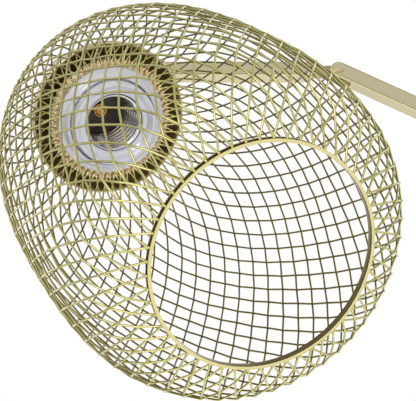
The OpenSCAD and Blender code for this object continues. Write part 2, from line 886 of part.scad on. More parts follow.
module lampholder_skirt() {
    color(porcelain) along_head() rotate_extrude($fn = 96) polygon([
        [skirt_r - skirt_wall, holder_front + seat],
        [skirt_r, holder_front + seat],
        [skirt_r, -collar_t - seat - shoulder_t],
        [shoulder_r, -collar_t - seat - shoulder_t],
        [shoulder_r, -collar_t - seat],
        [skirt_r, -collar_t - seat],
        [skirt_r, skirt_rise - mouth_step],
        [skirt_r - 0.5, skirt_rise - 0.3],
        [skirt_r - 1.4, skirt_rise],
        [shell_bore_r + shell_wall + loose, skirt_rise],
        [shell_bore_r + shell_wall + loose, skirt_rise - skirt_lip_t],
        [skirt_r - skirt_wall, skirt_rise - skirt_lip_t]
    ]);
}

module screw_shell() {
    color(steel) along_head() translate([0, 0, holder_front + seat])
        rotate_extrude() polygon([
            [shell_end_r, 0],
            [shell_bore_r + shell_wall, 0],
            [shell_bore_r + shell_wall, shell_len],
            [shell_bore_r, shell_len],
            [shell_bore_r, shell_end_t + shell_taper],
            [shell_end_r, shell_end_t]
        ]);
}

module centre_contact() {
    color(dark_brass) along_head() translate([0, 0, holder_front + seat]) difference() {
        union() {
            cylinder(r = contact_stem_r, h = contact_rise);
            translate([0, 0, contact_rise - contact_t]) cylinder(r = contact_r, h = contact_t);
        }
        translate([0, 0, contact_rise - contact_dish]) cylinder(r = contact_dish_r, h = contact_t);
    }
}

module shade_ring() {
    color(porcelain) along_head() rotate_extrude($fn = 96) polygon([
        [skirt_r + run, seat],
        [shade_ring_r - 0.6, seat],
        [shade_ring_r, seat + 0.6],
        [shade_ring_r, ring_lip_t],
        [ring_top_r, shade_ring_t - 0.5],
        [ring_top_r - 0.6, shade_ring_t],
        [skirt_r + run, shade_ring_t]
    ]);
}

module shade_collar() {
    color(dark_brass) along_head() translate([0, 0, -collar_t])
        ring(collar_r, collar_bore_r, collar_t);
}

module wire_shade() {
    color(brass) along_head() polyhedron(points = mesh_points, faces = mesh_faces, convexity = 8);
}

module rim_band() {
    color(brass) along_head() translate([0, 0, shade_len - rim_depth])
        rotate_extrude($fn = 96) translate([rim_bore_r, 0]) polygon([
            [0, 0], [rim_t, 0], [rim_t, rim_depth - 0.5], [rim_t - 0.5, rim_depth],
            [0.5, rim_depth], [0, rim_depth - 0.5]
        ]);
}

base_pad();
base_ballast();
base_cover();
base_cover_screws();
cable_inlet();
switch_body();
switch_button();
post_rod();
post_rod_nut();
post_rod_washer();
post_foot();
post_plug();
post_tube();
post_lead();
post_bush();
post_clip();
elbow_fork();
elbow_washers();
elbow_screw();
elbow_nut();
elbow_tongue();
main_tube();
main_lead();
wrist_fork();
wrist_washers();
wrist_screw();
wrist_nut();
wrist_tongue();
head_tube();
head_lead();
swivel_bush();
swivel_clip();
swivel_fork();
tilt_washers();
tilt_screw();
tilt_nut();
neck();
neck_lead();
neck_nut();
cup();
lampholder_body();
terminal_screws();
lampholder_skirt();
screw_shell();
centre_contact();
shade_ring();
shade_collar();
wire_shade();
rim_band();
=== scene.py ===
import bmesh
import bpy
import json
from bisect import bisect
from math import acos, atan2, cos, pi, radians, sin, sqrt
from mathutils import Matrix, Vector


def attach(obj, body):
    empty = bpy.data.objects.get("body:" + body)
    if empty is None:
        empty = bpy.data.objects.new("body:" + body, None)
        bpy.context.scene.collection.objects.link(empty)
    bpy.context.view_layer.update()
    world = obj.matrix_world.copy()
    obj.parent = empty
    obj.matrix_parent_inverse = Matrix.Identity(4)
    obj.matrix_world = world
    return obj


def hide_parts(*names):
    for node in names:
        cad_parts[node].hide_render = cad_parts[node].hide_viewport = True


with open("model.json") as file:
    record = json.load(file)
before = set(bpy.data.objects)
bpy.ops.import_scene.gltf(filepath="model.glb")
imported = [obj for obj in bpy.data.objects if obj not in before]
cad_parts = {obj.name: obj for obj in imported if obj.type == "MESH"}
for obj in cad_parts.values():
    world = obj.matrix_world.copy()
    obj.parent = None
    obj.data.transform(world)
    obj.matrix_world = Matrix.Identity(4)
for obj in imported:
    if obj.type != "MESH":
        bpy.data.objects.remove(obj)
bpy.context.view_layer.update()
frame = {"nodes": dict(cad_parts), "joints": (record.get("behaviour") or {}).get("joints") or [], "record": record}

nodes = frame["nodes"]
joint = {j["name"]: j for j in frame["joints"]}
mount = {m["name"]: m for m in frame["record"]["mounts"]}

# The camera. It stands low in front of the arms and looks up into the shade, with a long lens,
# so that the short arm runs level across the top of the picture.
camera_place = Vector((-0.2988, -0.6287, 0.0604))
camera_pitch = 26.7
focal_px = 1363
picture_px = 416
camera = bpy.data.objects.new("camera", bpy.data.cameras.new("camera"))
bpy.context.scene.collection.objects.link(camera)
bpy.context.scene.camera = camera
camera.data.sensor_fit = "HORIZONTAL"
camera.data.lens = camera.data.sensor_width * focal_px / picture_px
camera.data.clip_start = 0.01
camera.location = camera_place
camera.rotation_euler = (radians(90 + camera_pitch), 0, 0)

# The studio. A pale table that fades into a white backdrop, darker surroundings that the metal
# mirrors, with two soft boxes and a dark card on the table, and three plain soft lamps.
bpy.context.scene.view_settings.view_transform = "Standard"


def node_tree(material):
    """A material's node tree, emptied."""
    material.use_nodes = True
    tree = material.node_tree
    tree.nodes.clear()
    return tree


def ramp(tree, value, stops):
    """A colour for a value between 0 and 1, blended between stops of (place, colour)."""
    made = tree.nodes.new("ShaderNodeValToRGB")
    while len(made.color_ramp.elements) > 1:
        made.color_ramp.elements.remove(made.color_ramp.elements[-1])
    for i, (at, colour) in enumerate(stops):
        stop = made.color_ramp.elements[0] if i == 0 else made.color_ramp.elements.new(at)
        stop.position = at
        stop.color = (*colour, 1)
    tree.links.new(value, made.inputs["Fac"])
    return made.outputs["Color"]


def math_node(tree, operation, *values):
    """The result of one operation on numbers and sockets."""
    made = tree.nodes.new("ShaderNodeMath")
    made.operation = operation
    for socket, value in zip(made.inputs, values):
        if isinstance(value, (int, float)):
            socket.default_value = value
        else:
            tree.links.new(value, socket)
    return made.outputs[0]


world = bpy.data.worlds.new("studio")
bpy.context.scene.world = world
world.use_nodes = True
sky = world.node_tree
sky.nodes.clear()
direction = sky.nodes.new("ShaderNodeTexCoord")
part = sky.nodes.new("ShaderNodeSeparateXYZ")
sky.links.new(direction.outputs["Generated"], part.inputs[0])
up_share = math_node(sky, "MULTIPLY_ADD", part.outputs["Z"], 0.5, 0.5)
side_share = math_node(sky, "MULTIPLY_ADD", part.outputs["X"], 0.5, 0.5)
back_share = math_node(sky, "MULTIPLY_ADD", part.outputs["Y"], 0.5, 0.5)


def grey_ramp(tree, value, stops):
    """A level for a value between 0 and 1, blended between stops of (place, level)."""
    return ramp(tree, value, [(at, (level, level, level)) for at, level in stops])


from_sides = grey_ramp(sky, side_share, [(0.0, 0.60), (0.3, 0.50), (0.75, 0.50), (1.0, 0.65)])
in_front = math_node(
    sky, "MULTIPLY",
    grey_ramp(sky, back_share, [(0.0, 0.78), (0.12, 0.72), (0.30, 0.15), (1.0, 0.0)]),
    grey_ramp(sky, up_share, [(0.0, 1.0), (0.74, 1.0), (0.86, 0.3), (1.0, 0.2)]))


def soft_box(towards, level, narrow, wide):
    """A round patch of light in the world: full inside one cosine, gone outside the other."""
    facing = sky.nodes.new("ShaderNodeVectorMath")
    facing.operation = "DOT_PRODUCT"
    facing.inputs[1].default_value = Vector(towards).normalized()
    sky.links.new(direction.outputs["Generated"], facing.inputs[0])
    return grey_ramp(sky, facing.outputs["Value"],
                     [(0.0, 0.0), (wide, 0.0), (narrow, level), (1.0, level)])


level = math_node(sky, "MAXIMUM", from_sides, in_front)
for patch in (soft_box((0.50, 0.25, 0.68), level=0.9, narrow=0.90, wide=0.78),
              soft_box((-0.33, -0.88, 0.04), level=3.2, narrow=0.985, wide=0.93)):
    level = math_node(sky, "MAXIMUM", level, patch)
around_us = sky.nodes.new("ShaderNodeBackground")
sky.links.new(level, around_us.inputs["Color"])
white = sky.nodes.new("ShaderNodeBackground")
white.inputs["Color"].default_value = (1, 1, 1, 1)
rays = sky.nodes.new("ShaderNodeLightPath")
# The backdrop behind the lamp is white for the camera and in what the metal mirrors.
backdrop = math_node(
    sky, "MULTIPLY",
    grey_ramp(sky, back_share, [(0.0, 0.0), (0.70, 0.0), (0.86, 1.0), (1.0, 1.0)]),
    grey_ramp(sky, up_share, [(0.0, 0.0), (0.46, 0.0), (0.54, 1.0), (1.0, 1.0)]))
mirrored = math_node(sky, "MULTIPLY", backdrop, math_node(
    sky, "MAXIMUM", rays.outputs["Is Glossy Ray"], rays.outputs["Is Transmission Ray"]))
shows_white = math_node(sky, "MAXIMUM", rays.outputs["Is Camera Ray"], mirrored)
pick = sky.nodes.new("ShaderNodeMixShader")
sky.links.new(shows_white, pick.inputs["Fac"])
sky.links.new(around_us.outputs[0], pick.inputs[1])
sky.links.new(white.outputs[0], pick.inputs[2])
sky_out = sky.nodes.new("ShaderNodeOutputWorld")
sky.links.new(pick.outputs[0], sky_out.inputs["Surface"])

floor_r = 9
floor_gap = 0.0003
floor_bm = bmesh.new()
bmesh.ops.create_circle(floor_bm, cap_ends=True, segments=96, radius=floor_r)
floor_mesh = bpy.data.meshes.new("floor")
floor_bm.to_mesh(floor_mesh)
floor = bpy.data.objects.new("floor", floor_mesh)
bpy.context.scene.collection.objects.link(floor)
floor.location.z = -floor_gap
floor_paint = bpy.data.materials.new("floor_paint")
tree = node_tree(floor_paint)
paint = tree.nodes.new("ShaderNodeBsdfPrincipled")
seen = tree.nodes.new("ShaderNodeLightPath")
spot = tree.nodes.new("ShaderNodeTexCoord")


def distance_from(place):
    """How far a place on the table is from another, in metres."""
    made = tree.nodes.new("ShaderNodeVectorMath")
    made.operation = "DISTANCE"
    made.inputs[1].default_value = place
    tree.links.new(spot.outputs["Object"], made.inputs[0])
    return made.outputs["Value"]


# The camera sees the table in one pale tone. What the metal mirrors has a dark round card in it.
card_place = (-1.05, -0.1, 0)
table_tone = 0.85
bounce = grey_ramp(tree, distance_from(card_place),
                   [(0.0, 0.05), (0.38, 0.05), (0.56, 0.8), (1.0, 0.8)])
for_camera = seen.outputs["Is Camera Ray"]
card_to_table = math_node(tree, "SUBTRACT", table_tone, bounce)
tree.links.new(math_node(tree, "MULTIPLY_ADD", for_camera, card_to_table, bounce),
               paint.inputs["Base Color"])
paint.inputs["Roughness"].default_value = 0.8
# Far from the lamp the table fades into the white backdrop.
fade_middle = (-0.2, 0, 0)
fade_per_metre = 0.4
far_white = tree.nodes.new("ShaderNodeEmission")
far_off = math_node(tree, "MULTIPLY", distance_from(fade_middle), fade_per_metre)
far_share = grey_ramp(tree, far_off, [(0.0, 0.0), (0.22, 0.0), (0.75, 1.0), (1.0, 1.0)])
fade = tree.nodes.new("ShaderNodeMixShader")
tree.links.new(math_node(tree, "MULTIPLY", far_share, for_camera), fade.inputs["Fac"])
tree.links.new(paint.outputs[0], fade.inputs[1])
tree.links.new(far_white.outputs[0], fade.inputs[2])
tree.links.new(fade.outputs[0], tree.nodes.new("ShaderNodeOutputMaterial").inputs["Surface"])
floor_mesh.materials.append(floor_paint)


def soft_lamp(name, place, aim, size, watts):
    """A square area lamp that lights the pieces and that no metal mirrors."""
    lamp = bpy.data.objects.new(name, bpy.data.lights.new(name, "AREA"))
    bpy.context.scene.collection.objects.link(lamp)
    lamp.data.size = size
    lamp.data.energy = watts
    lamp.visible_glossy = False
    lamp.location = place
    lamp.rotation_euler = (Vector(aim) - Vector(place)).to_track_quat("-Z", "Y").to_euler()


middle = (-0.2, -0.05, 0.25)
soft_lamp("key", (-1.1, -1.0, 1.5), middle, size=0.9, watts=20)
soft_lamp("fill", (1.2, -1.1, 0.9), middle, size=1.0, watts=9)
soft_lamp("rim_light", (0.2, 1.4, 1.3), middle, size=1.0, watts=10)

# The base, which the photograph doesn't show: a soft pad, a cast iron disc for weight and a
# pressed brass cover with a rolled edge, which screws hold from below. The cable comes in through
# a rubber bush.
mm = 0.001
gold_tone = (0.80, 0.73, 0.50)


def polish_group():
    """The node group for all finishes: a cloudy tone, and a finer grain in gloss and relief."""
    grain_to_cloud = 14
    group = bpy.data.node_groups.new("polish", "ShaderNodeTree")
    for name, kind in (("Place", "NodeSocketVector"), ("Scale", "NodeSocketFloat"),
                       ("Colour", "NodeSocketColor"), ("Shade", "NodeSocketColor"),
                       ("Smooth", "NodeSocketFloat"), ("Rough", "NodeSocketFloat")):
        group.interface.new_socket(name, in_out="INPUT", socket_type=kind)
    for name, kind in (("Colour", "NodeSocketColor"), ("Roughness", "NodeSocketFloat"),
                       ("Height", "NodeSocketFloat")):
        group.interface.new_socket(name, in_out="OUTPUT", socket_type=kind)
    given = group.nodes.new("NodeGroupInput")
    made = group.nodes.new("NodeGroupOutput")
    cloud = group.nodes.new("ShaderNodeTexNoise")
    cloud.inputs["Detail"].default_value = 4
    grain = group.nodes.new("ShaderNodeTexNoise")
    grain.inputs["Detail"].default_value = 2
    finer = group.nodes.new("ShaderNodeMath")
    finer.operation = "MULTIPLY"
    finer.inputs[1].default_value = grain_to_cloud
    group.links.new(given.outputs["Scale"], cloud.inputs["Scale"])
    group.links.new(given.outputs["Scale"], finer.inputs[0])
    group.links.new(finer.outputs[0], grain.inputs["Scale"])
    for noise in (cloud, grain):
        group.links.new(given.outputs["Place"], noise.inputs["Vector"])
    mix = group.nodes.new("ShaderNodeMix")
    mix.data_type = "RGBA"
    group.links.new(cloud.outputs["Fac"], mix.inputs["Factor"])
    group.links.new(given.outputs["Shade"], mix.inputs["A"])
    group.links.new(given.outputs["Colour"], mix.inputs["B"])
    group.links.new(mix.outputs["Result"], made.inputs["Colour"])
    rough = group.nodes.new("ShaderNodeMapRange")
    group.links.new(grain.outputs["Fac"], rough.inputs["Value"])
    group.links.new(given.outputs["Smooth"], rough.inputs["To Min"])
    group.links.new(given.outputs["Rough"], rough.inputs["To Max"])
    group.links.new(rough.outputs["Result"], made.inputs["Roughness"])
    group.links.new(grain.outputs["Fac"], made.inputs["Height"])
    return group


polish = polish_group()


def finish(name, colour, shade, smooth, rough, scale=60, metallic=1.0, bump=0.02, coat=0.0,
           brushed=None, painted_shade_tone=None):
    """A material whose tone, roughness and fine relief come from the polish group. Where it is
    brushed, its grain is drawn out along a line at that angle in the arms' plane. Where it has an
    inner tone, that tone is painted shade, laid on where the mesh marks a surface as facing in."""
    brush_stretch = 25
    relief_depth = 0.2 * mm
    material = bpy.data.materials.new(name)
    tree = node_tree(material)
    surface = tree.nodes.new("ShaderNodeBsdfPrincipled")
    surface.inputs["Metallic"].default_value = metallic
    surface.inputs["Coat Weight"].default_value = coat
    surface.inputs["Coat Roughness"].default_value = 0.08
    worn = tree.nodes.new("ShaderNodeGroup")
    worn.node_tree = polish
    place = tree.nodes.new("ShaderNodeTexCoord")
    grain = tree.nodes.new("ShaderNodeMapping")
    grain.vector_type = "TEXTURE"
    if brushed is not None:
        grain.inputs["Rotation"].default_value = (0, brushed, 0)
        grain.inputs["Scale"].default_value = (brush_stretch, 1, 1)
    tree.links.new(place.outputs["Object"], grain.inputs["Vector"])
    tree.links.new(grain.outputs["Vector"], worn.inputs["Place"])
    worn.inputs["Scale"].default_value = scale
    worn.inputs["Colour"].default_value = (*colour, 1)
    worn.inputs["Shade"].default_value = (*shade, 1)
    worn.inputs["Smooth"].default_value = smooth
    worn.inputs["Rough"].default_value = rough
    relief = tree.nodes.new("ShaderNodeBump")
    relief.inputs["Strength"].default_value = bump
    relief.inputs["Distance"].default_value = relief_depth
    tree.links.new(worn.outputs["Height"], relief.inputs["Height"])
    tone = worn.outputs["Colour"]
    if painted_shade_tone:
        unshaded_share = tree.nodes.new("ShaderNodeAttribute")
        unshaded_share.attribute_name = "unshaded_share"
        sides = tree.nodes.new("ShaderNodeMix")
        sides.data_type = "RGBA"
        sides.inputs["A"].default_value = (*painted_shade_tone, 1)
        tree.links.new(unshaded_share.outputs["Fac"], sides.inputs["Factor"])
        tree.links.new(tone, sides.inputs["B"])
        tone = sides.outputs["Result"]
    tree.links.new(tone, surface.inputs["Base Color"])
    tree.links.new(worn.outputs["Roughness"], surface.inputs["Roughness"])
    tree.links.new(relief.outputs["Normal"], surface.inputs["Normal"])
    made = tree.nodes.new("ShaderNodeOutputMaterial")
    tree.links.new(surface.outputs[0], made.inputs["Surface"])
    return material


def dress(names, material, edge_mm=0.0):
    """Gives CAD nodes a finish and, where asked, rounds their sharp edges."""
    for name in names:
        node = nodes[name]
        node.data.materials.clear()
        node.data.materials.append(material)
        if edge_mm:
            weld = node.modifiers.new("weld", "WELD")
            weld.merge_threshold = 1e-6
            bevel = node.modifiers.new("edge", "BEVEL")
            bevel.width = edge_mm * mm
            bevel.segments = 2
            bevel.limit_method = "ANGLE"
            bevel.angle_limit = radians(50)
            bevel.harden_normals = True


cast_iron = finish("cast_iron", (0.05, 0.05, 0.052), (0.08, 0.08, 0.08), 0.55, 0.8, scale=220,
                   metallic=0.6, bump=0.4)
cover_gold = finish("cover_gold", gold_tone, (0.72, 0.65, 0.41), 0.22, 0.3, scale=120, bump=0.0)
black_rubber = finish("black_rubber", (0.025, 0.025, 0.027), (0.04, 0.04, 0.04), 0.6, 0.8,
                      scale=300, metallic=0.0, bump=0.15)
steel = finish("zinc_steel", (0.66, 0.67, 0.69), (0.55, 0.56, 0.58), 0.25, 0.42, scale=180)
dress(["base_pad", "cable_inlet", "switch_body"], black_rubber)
dress(["base_ballast"], cast_iron)
dress(["base_cover"], cover_gold)
dress(["base_cover_screws", "post_rod", "post_rod_nut", "post_rod_washer", "post_plug"], steel)

# The push switch in the base: a moulded cream button that slides in a black bezel, which is
# clipped into the cover.
button_cream = finish("button_cream", (0.70, 0.67, 0.58), (0.62, 0.59, 0.50), 0.3, 0.42, scale=90,
                      metallic=0.0)
dress(["switch_button"], button_cream, 0.8)

# The post: a square brass tube with small round corners, plated satin champagne gold. It stands
# in a foot on the cover, and the elbow fork turns in a bush in its top.
satin_gold = finish("satin_gold", gold_tone, (0.74, 0.67, 0.43), 0.22, 0.3, scale=160, bump=0.0)
dull_brass = finish("dull_brass", (0.50, 0.38, 0.18), (0.34, 0.24, 0.10), 0.35, 0.5, scale=150)
post_gold = finish("post_gold", gold_tone, (0.71, 0.64, 0.40), 0.2, 0.3, scale=450, bump=0.0,
                   brushed=pi / 2)
dress(["post_tube"], post_gold, 0.8)
dress(["post_foot"], satin_gold, 0.8)
dress(["post_bush", "elbow_washers", "wrist_washers", "tilt_washers"], dull_brass)
dress(["post_clip", "swivel_clip"], steel)

# The hinges: round-ended forks and tongues of plated brass. The tongues sit on plugs in the
# tubes, the forks at the elbow and the head turn on spigots in bushes, and a cross-head screw
# with a nut clamps each pair.
dress(["elbow_fork", "elbow_tongue", "swivel_fork", "swivel_bush"], satin_gold, 0.35)
dress(["elbow_screw", "elbow_nut", "wrist_screw", "wrist_nut", "tilt_screw", "tilt_nut"],
      satin_gold, 0.3)

# The arms: square tubes of drawn brass with small round corners, plated satin gold, and the cable
# inside them. The long arm's end is slotted into two round-ended cheeks, and the short arm has a
# round nose with a flat tongue in it.
pivot = {name: Vector(joint[name]["pos_m"]) for name in ("elbow_bend", "wrist_bend", "head_tilt")}


def place_at(origin, along, across):
    """Where a piece goes that is drawn in millimetres with its Z axis along a member and its Y
    axis across it."""
    along = Vector(along).normalized()
    across = Vector(across).normalized()
    turn = Matrix((across.cross(along), across, along)).transposed().to_4x4()
    return Matrix.Translation(origin) @ turn @ Matrix.Scale(mm, 4)


def make_piece(name, bm, place, material, body, replaced=(), smooth_to=35, turn_out=True):
    """Puts a shape that was drawn in millimetres in its place and hangs it on its body. It is
    shaded smooth up to an angle between its faces."""
    bmesh.ops.transform(bm, matrix=place, verts=bm.verts)
    bmesh.ops.remove_doubles(bm, verts=bm.verts, dist=1e-7)
    if turn_out:
        bmesh.ops.recalc_face_normals(bm, faces=bm.faces)
    mesh = bpy.data.meshes.new(name)
    bm.to_mesh(mesh)
    bm.free()
    mesh.materials.append(material)
    mesh.polygons.foreach_set("use_smooth", [True] * len(mesh.polygons))
    mesh.set_sharp_from_angle(angle=radians(smooth_to))
    made = bpy.data.objects.new(name, mesh)
    bpy.context.scene.collection.objects.link(made)
    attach(made, body)
    if replaced:
        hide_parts(*replaced)
    return made


cable_sheath = finish("cable_sheath", (0.80, 0.78, 0.72), (0.72, 0.70, 0.64), 0.45, 0.6,
                      scale=200, metallic=0.0)
# The tongue's brass is darker than the bars': painted shade for its place inside the fork's slot.
tongue_brass = finish("tongue_brass", (0.60, 0.48, 0.27), (0.50, 0.39, 0.20), 0.25, 0.38, scale=80,
                      bump=0.0)
dress(["post_lead", "main_lead", "head_lead", "neck_lead"], cable_sheath)
arm_rise = pivot["wrist_bend"] - pivot["elbow_bend"]
long_arm_place = place_at(pivot["elbow_bend"], arm_rise, (0, 1, 0))
short_arm_place = place_at(pivot["wrist_bend"], (-1, 0, 0), (0, 1, 0))
long_arm_gold = finish("long_arm_gold", gold_tone, (0.70, 0.63, 0.40), 0.2, 0.3, scale=450,
                       bump=0.0, brushed=atan2(-arm_rise.z, arm_rise.x))
short_arm_gold = finish("short_arm_gold", gold_tone, (0.70, 0.63, 0.40), 0.2, 0.3, scale=450,
                        bump=0.0, brushed=0)
# The two corner finishes are painted: a bright painted highlight along the corners, and a dark painted shade line
# beside them.
edge_highlight = finish("edge_highlight", (1.0, 0.93, 0.50), (0.97, 0.89, 0.45), 0.08, 0.14, scale=120,
                   metallic=0.4, bump=0.0)
edge_shade = finish("edge_shade", (0.17, 0.13, 0.06), (0.12, 0.09, 0.04), 0.25, 0.4, scale=120,
                    bump=0.0)
arm_side = 8.5
corner_r = 0.6
slot_w = 4.3
slot_depth = 9
tongue_t = 3
tongue_w = 6.6
tongue_len = 14.5
tongue_grip = 2
tongue_corner_r = 0.35
tube_start = 12.45
swivel_gap = 13.5
long_arm_len = arm_rise.length / mm
short_arm_len = (pivot["head_tilt"] - pivot["wrist_bend"]).length / mm


def bar(start, end, width, thickness):
    """A bar along Z, as a bmesh, with its end faces left flat."""
    bm = bmesh.new()
    bmesh.ops.create_cube(bm, size=1)
    bmesh.ops.scale(bm, vec=(width, thickness, end - start), verts=bm.verts)
    bmesh.ops.translate(bm, vec=(0, 0, (start + end) / 2), verts=bm.verts)
    return bm


def grow(bm, faces):
    """Extrudes faces without moving them yet, and gives the new faces and their corners."""
    made = bmesh.ops.extrude_face_region(bm, geom=faces)["geom"]
    bmesh.ops.delete(bm, geom=faces, context="FACES")
    return ([g for g in made if isinstance(g, bmesh.types.BMFace)],
            [g for g in made if isinstance(g, bmesh.types.BMVert)])


def round_end(bm, faces, radius, towards, steps=10):
    """Extrudes end faces into a half-round nose about the hinge's axis. The last step stops
    short of the middle, so that the nose closes with a narrow face."""
    last = steps - 0.25
    for i in range(steps):
        before, after = pi / 2 * i / steps, pi / 2 * min(i + 1, last) / steps
        faces, verts = grow(bm, faces)
        rise = towards * radius * (sin(after) - sin(before))
        bmesh.ops.translate(bm, vec=(0, 0, rise), verts=verts)
        bmesh.ops.scale(bm, vec=(cos(after) / cos(before), 1, 1), verts=verts)
    return bm


def end_faces(bm, height, towards):
    """The faces that close a bar at a height and look along it."""
    return [f for f in bm.faces
            if abs(f.calc_center_median().z - height) < 1e-4 and f.normal.z * towards > 0.9]


def bent_edges(bm, least, most=360):
    """The edges whose two faces turn by an angle between two limits, in degrees."""
    return [e for e in bm.edges
            if len(e.link_faces) == 2 and radians(least) < e.calc_face_angle(0) < radians(most)]


def round_corners(bm, offset):
    """Joins the faces that lie in one flat side, then rounds the corners between the sides."""
    bmesh.ops.recalc_face_normals(bm, faces=bm.faces)
    bmesh.ops.dissolve_edges(bm, edges=bent_edges(bm, -1, 1), use_verts=True)
    bmesh.ops.bevel(bm, geom=bent_edges(bm, 60), offset=offset, offset_type="OFFSET",
                    affect="EDGES", segments=3, profile=0.5, material=-1, clamp_overlap=False)
    return bm


def forked_bar():
    """The long arm: a bar whose upper end is slotted into two round-ended cheeks."""
    root = long_arm_len - slot_depth
    bm = bar(tube_start, root, arm_side, arm_side)
    for side in (-1, 1):
        bmesh.ops.bisect_plane(bm, geom=bm.verts[:] + bm.edges[:] + bm.faces[:], dist=1e-5,
                               plane_co=(0, side * slot_w / 2, 0), plane_no=(0, 1, 0))
    cheeks = [f for f in end_faces(bm, root, 1) if abs(f.calc_center_median().y) > slot_w / 2]
    tips, corners = grow(bm, cheeks)
    bmesh.ops.translate(bm, vec=(0, 0, slot_depth), verts=corners)
    round_end(bm, tips, arm_side / 2, 1)
    return round_corners(bm, corner_r)


def nosed_bar():
    """The short arm: a bar with a round nose at the wrist."""
    start = tongue_len + arm_side / 2
    bm = bar(start, short_arm_len - swivel_gap, arm_side, arm_side)
    round_end(bm, end_faces(bm, start, -1), arm_side / 2, -1)
    return round_corners(bm, corner_r)


def tongue():
    """The flat tongue that the short arm's nose holds, with its own round end on the pivot."""
    bm = bar(0, tongue_len + tongue_grip, tongue_w, tongue_t)
    round_end(bm, end_faces(bm, 0, -1), tongue_w / 2, -1)
    return round_corners(bm, tongue_corner_r)


long_arm = make_piece("long_arm_bar", forked_bar(), long_arm_place, long_arm_gold, "long_arm",
                      ["main_tube", "wrist_fork"])
short_arm = make_piece("short_arm_bar", nosed_bar(), short_arm_place, short_arm_gold, "short_arm",
                       ["head_tube"])
# The bars' sides are flat up to their round corners. The long corners get a painted highlight,
# and the corner face next to each front and back side a thin line of painted shade.
painted_highlight, painted_shade_line = 1, 2
for piece, place in ((long_arm, long_arm_place), (short_arm, short_arm_place)):
    piece.data.materials.append(edge_highlight)
    piece.data.materials.append(edge_shade)
    to_bar = place.inverted().to_3x3()
    for face in piece.data.polygons:
        facing = (to_bar @ face.normal).normalized()
        up, out = abs(facing.x), abs(facing.y)
        if max(up, out) > 0.99:
            face.use_smooth = False
        elif min(up, out) > 0.2:
            face.material_index = painted_shade_line if out > 0.9 else painted_highlight
make_piece("wrist_tongue_plate", tongue(), short_arm_place, tongue_brass, "short_arm",
           ["wrist_tongue"])

# The head's neck and cup: a turned brass neck with a flange, and a bowl spun from brass sheet that
# a nut holds on it. The bowl is plated outside, and its inside is dark brown: painted shade.
dress(["neck"], satin_gold)
dress(["neck_nut", "terminal_screws"], steel)
# The head is drawn from the collar's face, with Z out of the shade's mouth and Y along the tilt
# pivot. Its axis is that of the lamp socket.
neck_reach = 0.097
head_axis = Vector(mount["lamp_socket"]["axis"])
tilt_axis = Vector(joint["head_tilt"]["axis"])
head_place = place_at(pivot["head_tilt"] + neck_reach * head_axis, head_axis, tilt_axis)
to_head = head_place.inverted()


def spin_profile(profile, closed=True, steps=96):
    """A turned piece: its half outline, (radius, height) in millimetres, spun about Z."""
    bm = bmesh.new()
    points = [bm.verts.new((r, 0, z)) for r, z in profile]
    last = points[1:] + points[:1] if closed else points[1:]
    edges = [bm.edges.new(pair) for pair in zip(points, last)]
    bmesh.ops.spin(bm, geom=points + edges, cent=(0, 0, 0), axis=(0, 0, 1), angle=2 * pi,
                   steps=steps, use_merge=True)
    bmesh.ops.remove_doubles(bm, verts=bm.verts, dist=1e-5)
    return bm


# The bowl's brown inside is painted shade.
cup_brown = finish("cup_brown", (0.42, 0.29, 0.13), (0.26, 0.17, 0.07), 0.3, 0.5, scale=70,
                   metallic=0.2)
cup_r = 37.2
cup_depth = 32.5
cup_floor_r = 11
cup_mouth = -1.5
cup_wall = 1
lip_r = 0.9
hole_r = 5.1
bowl_steps = 16
lip_steps = 6
floor_angle = acos(cup_floor_r / cup_r)


def bowl_line(r, depth):
    """A quarter of an ellipse from the mouth down to the flat floor, as radius and height."""
    turns = [floor_angle * i / bowl_steps for i in range(bowl_steps + 1)]
    return [(r * cos(a), cup_mouth - depth * sin(a)) for a in turns]


outer_bowl = bowl_line(cup_r, cup_depth)
inner_bowl = bowl_line(cup_r - cup_wall, cup_depth - cup_wall / sin(floor_angle))
lip = [(cup_r - cup_wall / 2 + lip_r * cos(a), cup_mouth + lip_r * sin(a))
       for a in (pi * i / lip_steps for i in range(lip_steps + 1))]
bowl = spin_profile(
    lip + inner_bowl[1:] + [(hole_r, inner_bowl[-1][1]), (hole_r, outer_bowl[-1][1])]
    + outer_bowl[:0:-1], steps=128)
cup = make_piece("cup_bowl", bowl, head_place, satin_gold, "head", ["cup"])
cup.data.materials.append(cup_brown)
# The faces with painted shade look at the axis or, on the floor, out of the mouth.
shaded_inside = 1
for face in cup.data.polygons:
    spot = to_head @ face.center
    facing = to_head.to_3x3() @ face.normal
    if facing.x * spot.x + facing.y * spot.y < 0 or facing.z > 0.5 and spot.z < cup_mouth - 1:
        face.material_index = shaded_inside

# The lampholder: a moulded pale glossy skirt, and a clamp ring of the same that screws on it and
# holds the shade's collar. Inside are a dark core and a nickel-plated shell with a rolled thread.
dark_core = finish("dark_core", (0.085, 0.066, 0.055), (0.045, 0.033, 0.028), 0.1, 0.2,
                   scale=200, metallic=0.0)
pale_gloss = finish("pale_gloss", (0.84, 0.85, 0.92), (0.76, 0.77, 0.84), 0.08, 0.16, scale=120,
                    metallic=0.35, bump=0.0, coat=0.3)
nickel = finish("nickel", (0.90, 0.89, 0.88), (0.82, 0.81, 0.80), 0.05, 0.11, scale=300, bump=0.0)
dress(["lampholder_body"], dark_core)
shell_r = 13.3
shell_wall = 0.3
shell_back = -18.1
shell_front = 6.9
thread_pitch = 3.6
thread_depth = 0.9
skirt_r = 20.8
skirt_front = 10.2
skirt_back = shell_back
shoulder_r = 24.5


def soften(bm, offset, over=40):
    """Rounds the edges where faces meet at more than an angle."""
    bmesh.ops.bevel(bm, geom=bent_edges(bm, over), offset=offset, offset_type="OFFSET",
                    affect="EDGES", segments=2, profile=0.5, material=-1, clamp_overlap=True)
    return bm


